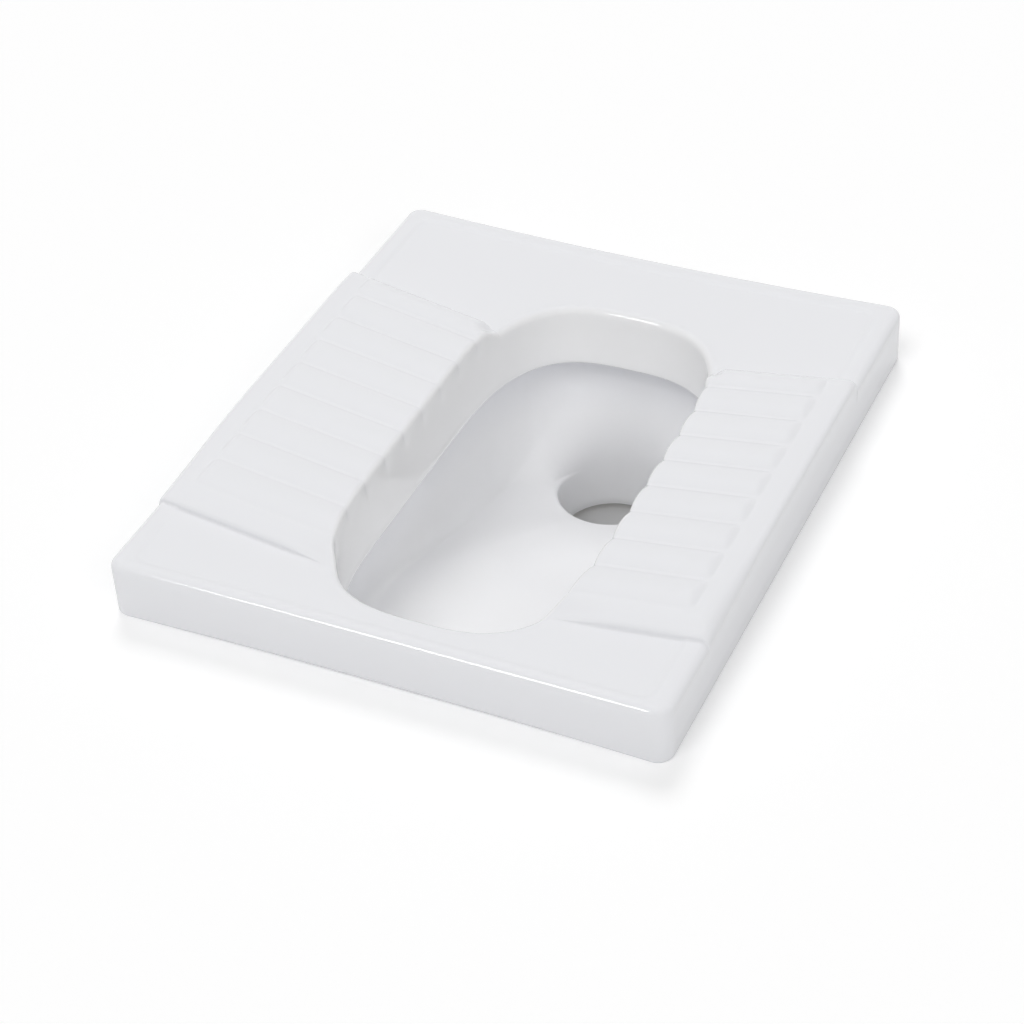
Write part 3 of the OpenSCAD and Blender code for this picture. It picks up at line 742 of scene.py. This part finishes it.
def paintedWellLightGroup():
    # painted light: 1 inside the well's outline, |x/a|^n + |y/b|^n = 1 past the straight sides, fading
    # out over the rounded edge, and part of it down in the bowl, where the colour is made whiter so
    # that these hollows look brighter lit; the band right under the rim is left out and stays darker as
    # painted shade
    paintedLight = {"rim": -6.5, "bowlFrom": -12.0, "bowlTo": -60.0, "bowlShare": 0.7}
    shift, halfWidth, rearBase, rearReach, frontBase, frontReach = (
        wellShape[key] / 1000
        for key in ("shift", "halfWidth", "rearBase", "rearReach", "frontBase", "frontReach"))
    tree, gin, gout = newGroup(
        "paintedWellLight", [("Edge", "NodeSocketFloat", 0.12)], [("Mask", "NodeSocketFloat")])
    coord = addNode(tree, "ShaderNodeTexCoord")
    split = addNode(tree, "ShaderNodeSeparateXYZ")
    wire(tree, (coord, "Object", split, 0))
    x, y, z = ((split, axis) for axis in "XYZ")

    def calc(operation, *values):
        # a Math node on numbers and outputs, as the output that it gives
        node = addNode(tree, "ShaderNodeMath", operation=operation)
        for k, value in enumerate(values):
            if isinstance(value, (int, float)):
                node.inputs[k].default_value = value
            else:
                wire(tree, (*value, node, k))
        return node, 0

    across = calc("DIVIDE", calc("ABSOLUTE", calc("SUBTRACT", x, shift)), halfWidth)
    rear = calc("DIVIDE", calc("SUBTRACT", y, rearBase), rearReach)
    front = calc("DIVIDE", calc("SUBTRACT", frontBase, y), frontReach)
    along = calc("MAXIMUM", calc("MAXIMUM", rear, front), 0.0)
    reach = calc("ADD", *(calc("POWER", part, wellShape["squareness"]) for part in (across, along)))
    inside = addNode(tree, "ShaderNodeMapRange", {"From Max": 1.0})
    bowl = addNode(tree, "ShaderNodeMapRange", {
        "From Min": paintedLight["bowlFrom"] / 1000, "From Max": paintedLight["bowlTo"] / 1000,
        "To Max": paintedLight["bowlShare"]})
    wire(tree, (*reach, inside, "Value"), (*calc("ADD", (gin, "Edge"), 1.0), inside, "From Min"),
         (*z, bowl, "Value"))
    # painted shade: nothing is added just under the rim, so that band stays darker
    deck = calc("MULTIPLY", (inside, "Result"), calc("GREATER_THAN", z, paintedLight["rim"] / 1000))
    wire(tree, (*calc("MAXIMUM", deck, (bowl, "Result")), gout, "Mask"))
    return tree


def gritGroup():
    # grit of bare clay or rubber: fine noise as a height
    tree, gin, gout = newGroup(
        "clayGrit", [("Size", "NodeSocketFloat", 900.0)], [("Height", "NodeSocketFloat")])
    coord = addNode(tree, "ShaderNodeTexCoord")
    noise = addNode(tree, "ShaderNodeTexNoise", {"Detail": 4.0, "Roughness": 0.7})
    wire(tree, (coord, "Object", noise, "Vector"), (gin, "Size", noise, "Scale"),
         (noise, "Fac", gout, "Height"))
    return tree


def newMaterial(name):
    # a material with its node tree and its shader
    material = bpy.data.materials.new(name)
    material.use_nodes = True
    return material, material.node_tree, material.node_tree.nodes["Principled BSDF"]


def placeGroup(tree, group, **values):
    # a group inside a material, with that material's own values
    return addNode(tree, "ShaderNodeGroup", values, node_tree=group)


def addBump(tree, shader, pattern, look):
    # a pattern's height as the surface's fine relief, its depth in metres
    bump = addNode(tree, "ShaderNodeBump", {"Strength": look["bump"], "Distance": look["bumpDepth"]})
    wire(tree, (pattern, "Height", bump, "Height"), (bump, "Normal", shader, "Normal"))


def glazeMaterial(groups):
    # painted light: the well and bowl get a whiter, more neutral colour than the deck so that they look
    # brighter lit, and the band under the rim keeps the plain colour as painted shade
    look = {"light": (0.868, 0.873, 0.898, 1), "deep": (0.862, 0.867, 0.892, 1), "drift": 7.0,
            "paintedLitWhite": (0.955, 0.955, 0.957, 1), "roughness": 0.09, "ior": 1.5,
            "ripple": 16.0, "fine": 110.0, "fineShare": 0.12, "bump": 0.05, "bumpDepth": 0.0006}
    material, tree, shader = newMaterial("whiteGlaze")
    tone = placeGroup(tree, groups["tone"], Light=look["light"], Deep=look["deep"], Size=look["drift"])
    ripple = placeGroup(tree, groups["ripple"], Size=look["ripple"], Fine=look["fine"],
                        Share=look["fineShare"])
    # painted light in the well and bowl, and painted shade in the band under the rim
    paintedLight = placeGroup(tree, groups["paintedLight"])
    colour = addNode(tree, "ShaderNodeMix", {"B": look["paintedLitWhite"]}, data_type="RGBA")
    wire(tree, (paintedLight, "Mask", colour, "Factor"), (tone, "Color", colour, "A"),
         (colour, "Result", shader, "Base Color"))
    addBump(tree, shader, ripple, look)
    shader.inputs["Roughness"].default_value = look["roughness"]
    shader.inputs["IOR"].default_value = look["ior"]
    return material


def grittyMaterial(name, groups, look):
    # a dull finish: two tones that drift, and grit
    material, tree, shader = newMaterial(name)
    tone = placeGroup(tree, groups["tone"], Light=look["light"], Deep=look["deep"], Size=look["drift"])
    grit = placeGroup(tree, groups["grit"], Size=look["grit"])
    wire(tree, (tone, "Color", shader, "Base Color"))
    addBump(tree, shader, grit, look)
    shader.inputs["Roughness"].default_value = look["roughness"]
    return material


def bareMaterial(groups):
    return grittyMaterial("bareChina", groups, {
        "light": (0.80, 0.78, 0.74, 1), "deep": (0.74, 0.72, 0.68, 1), "drift": 22.0,
        "grit": 700.0, "bump": 0.25, "bumpDepth": 0.0004, "roughness": 0.62})


def rubberMaterial(groups):
    return grittyMaterial("sealRubber", groups, {
        "light": (0.030, 0.030, 0.032, 1), "deep": (0.020, 0.020, 0.022, 1), "drift": 40.0,
        "grit": 1500.0, "bump": 0.15, "bumpDepth": 0.0002, "roughness": 0.55})


def stageMaterial(name, grey, whiter=0.0, glow=0.0, hidden=0.0):
    # pale paper that is a little whiter to the camera or glows for everything; it is clear from
    # underneath, and to the camera from everywhere when it is hidden
    material, tree, shader = newMaterial(name)
    for label, value in (("Base Color", (grey, grey, grey, 1)), ("Roughness", 1.0),
                         ("Specular IOR Level", 0.0), ("Emission Color", (1, 1, 1, 1))):
        shader.inputs[label].default_value = value
    clear = addNode(tree, "ShaderNodeBsdfTransparent")
    either = addNode(tree, "ShaderNodeMixShader")
    side = addNode(tree, "ShaderNodeNewGeometry")
    path = addNode(tree, "ShaderNodeLightPath")
    lift = addNode(tree, "ShaderNodeMath", {1: whiter, 2: glow}, operation="MULTIPLY_ADD")
    through = addNode(tree, "ShaderNodeMath", {1: hidden}, operation="MULTIPLY_ADD", use_clamp=True)
    out = tree.nodes["Material Output"]
    wire(tree, (path, "Is Camera Ray", lift, 0), (lift, 0, shader, "Emission Strength"),
         (path, "Is Camera Ray", through, 0), (side, "Backfacing", through, 2),
         (through, 0, either, 0), (shader, 0, either, 1), (clear, 0, either, 2),
         (either, 0, out, "Surface"))
    return material


def stageFloor():
    # wide floor with an opening under the skirt, and a pale pit under the opening
    size = {"reach": 9000.0, "holeX": 206.0, "holeY": 243.0, "pitTop": -1.0, "pitBottom": -158.0}
    inner, outer = ([(-x, -y), (x, -y), (x, y), (-x, y)]
                    for x, y in ((size["holeX"], size["holeY"]), (size["reach"], size["reach"])))
    verts = [(x, y, 0) for x, y in inner + outer]
    faces = [(4, 5, 1, 0), (5, 6, 2, 1), (6, 7, 3, 2), (7, 4, 0, 3)]
    floor = flatMesh("stageFloor", verts, faces, stageMaterial("floorPaper", 0.96, whiter=0.11))
    verts = [(x, y, z) for z in (size["pitTop"], size["pitBottom"]) for x, y in inner]
    faces = [(0, 1, 5, 4), (1, 2, 6, 5), (2, 3, 7, 6), (3, 0, 4, 7), (4, 5, 6, 7)]
    pit = flatMesh("stagePit", verts, faces, stageMaterial("pitPaper", 0.45, glow=0.04))
    # its sides glow, so that the underside isn't in the dark
    pit.data.materials.append(stageMaterial("pitSides", 0.6, glow=0.42, hidden=1.0))
    upright = [abs(face.normal.z) < 0.5 for face in pit.data.polygons]
    pit.data.polygons.foreach_set("material_index", np.array(upright, np.int32))
    return floor, pit


def studioWorld(room):
    # an even room that lights the object, and plain white for the camera and for reflections
    world = bpy.data.worlds.new("studioWorld")
    world.use_nodes = True
    tree = world.node_tree
    tree.nodes.clear()
    lit = addNode(tree, "ShaderNodeBackground", {"Color": (1, 1, 1, 1), "Strength": room})
    seen = addNode(tree, "ShaderNodeBackground", {"Color": (1, 1, 1, 1), "Strength": 1.0})
    either = addNode(tree, "ShaderNodeMixShader")
    path = addNode(tree, "ShaderNodeLightPath")
    direct = addNode(tree, "ShaderNodeMath", operation="MAXIMUM")
    white = addNode(tree, "ShaderNodeMath", operation="MAXIMUM")
    out = addNode(tree, "ShaderNodeOutputWorld")
    wire(tree, (path, "Is Camera Ray", direct, 0), (path, "Is Glossy Ray", direct, 1),
         (direct, 0, white, 0), (path, "Is Transmission Ray", white, 1),
         (white, 0, either, 0), (lit, 0, either, 1), (seen, 0, either, 2), (either, 0, out, "Surface"))
    return world


def studio():
    # broad lights from the front, from the rear left that lays the shadow and from the front right;
    # a small one from the front left draws the thin highlights and lights nothing else
    room = 0.43
    lights = {
        "frontLight": {"strength": 0.80, "angle": 30, "way": (0.08, 0.51, -0.86), "glint": False},
        "rearLeftLight": {"strength": 0.72, "angle": 22, "way": (0.34, -0.66, -1.0), "glint": False},
        "frontRightLight": {"strength": 0.38, "angle": 36, "way": (-0.60, 0.42, -0.68), "glint": False},
        "glintLight": {"strength": 0.50, "angle": 13, "way": (0.35, 0.65, -0.67), "glint": True},
    }
    bpy.context.scene.cycles.max_bounces = 24
    bpy.context.scene.cycles.diffuse_bounces = 20
    bpy.context.scene.world = studioWorld(room)
    for name, light in lights.items():
        data = bpy.data.lights.new(name, "SUN")
        data.angle = math.radians(light["angle"])
        data.energy = light["strength"]
        lamp = bpy.data.objects.new(name, data)
        lamp.rotation_euler = Vector(light["way"]).to_track_quat("-Z", "Y").to_euler()
        lamp.visible_glossy = light["glint"]
        lamp.visible_diffuse = not light["glint"]
        bpy.context.collection.objects.link(lamp)


def camera():
    # the photograph's view, solved from the deck's own edges; degrees, metres and, for the lens, mm
    view = {"azimuth": 26.653, "elevation": 38.948, "roll": -3.534, "distance": 1.9473,
            "target": (0.0021, -0.04575, 0.0), "lens": 91.71, "sensor": 36.0, "shift": (0.0071, 0.0004),
            "farthest": 50.0}
    az, el, roll = (math.radians(view[k]) for k in ("azimuth", "elevation", "roll"))
    back = Vector((math.sin(az) * math.cos(el), -math.cos(az) * math.cos(el), math.sin(el)))
    right = (-back).cross(Vector((0, 0, 1))).normalized()
    up = right.cross(-back)
    x = right * math.cos(roll) + up * math.sin(roll)
    y = -right * math.sin(roll) + up * math.cos(roll)
    data = bpy.data.cameras.new("photoCamera")
    data.sensor_fit = "HORIZONTAL"
    data.sensor_width = view["sensor"]
    data.lens = view["lens"]
    data.shift_x, data.shift_y = view["shift"]
    data.clip_end = view["farthest"]
    eye = bpy.data.objects.new("photoCamera", data)
    spot = Vector(view["target"]) + back * view["distance"]
    eye.matrix_world = Matrix(((x.x, y.x, back.x, spot.x), (x.y, y.y, back.y, spot.y),
                               (x.z, y.z, back.z, spot.z), (0, 0, 0, 1)))
    bpy.context.collection.objects.link(eye)
    bpy.context.scene.camera = eye


print("materials")
groups = {"ripple": rippleGroup(), "tone": toneGroup(), "grit": gritGroup(), "paintedLight": paintedWellLightGroup()}
glaze = glazeMaterial(groups)
bare = bareMaterial(groups)
rubber = rubberMaterial(groups)

print("casting: deck, treads and rim")
rings, slots = castingRings()
print("casting grid", rings.shape)
# the rings are taken backwards, so that the faces point outwards, and each face keeps its slot
topSkin = gridMesh("glazedDeck", rings[::-1], [glaze, bare], np.roll(slots[::-1], -1))
cutArch(topSkin, bare)
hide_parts("deck", "left_tread", "right_tread", "rim")

print("bowl")
rings, slots = bowlRings()
bowlSkin = gridMesh("glazedBowl", rings, [glaze, bare], slots)
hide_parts("bowl", "outlet_horn")

for piece in (topSkin, bowlSkin):
    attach(piece, "root")

for name, material in (("flush_channel", glaze), ("flow_splitter", glaze), ("inlet_horn", glaze),
                       ("left_underside_ribs", bare), ("right_underside_ribs", bare),
                       ("inlet_seal", rubber), ("outlet_seal", rubber)):
    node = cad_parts[name]
    node.data.materials.clear()
    node.data.materials.append(material)

print("stage, lamps and camera")
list(stageFloor())
studio()
camera()
bpy.context.scene.view_settings.view_transform = "Standard"
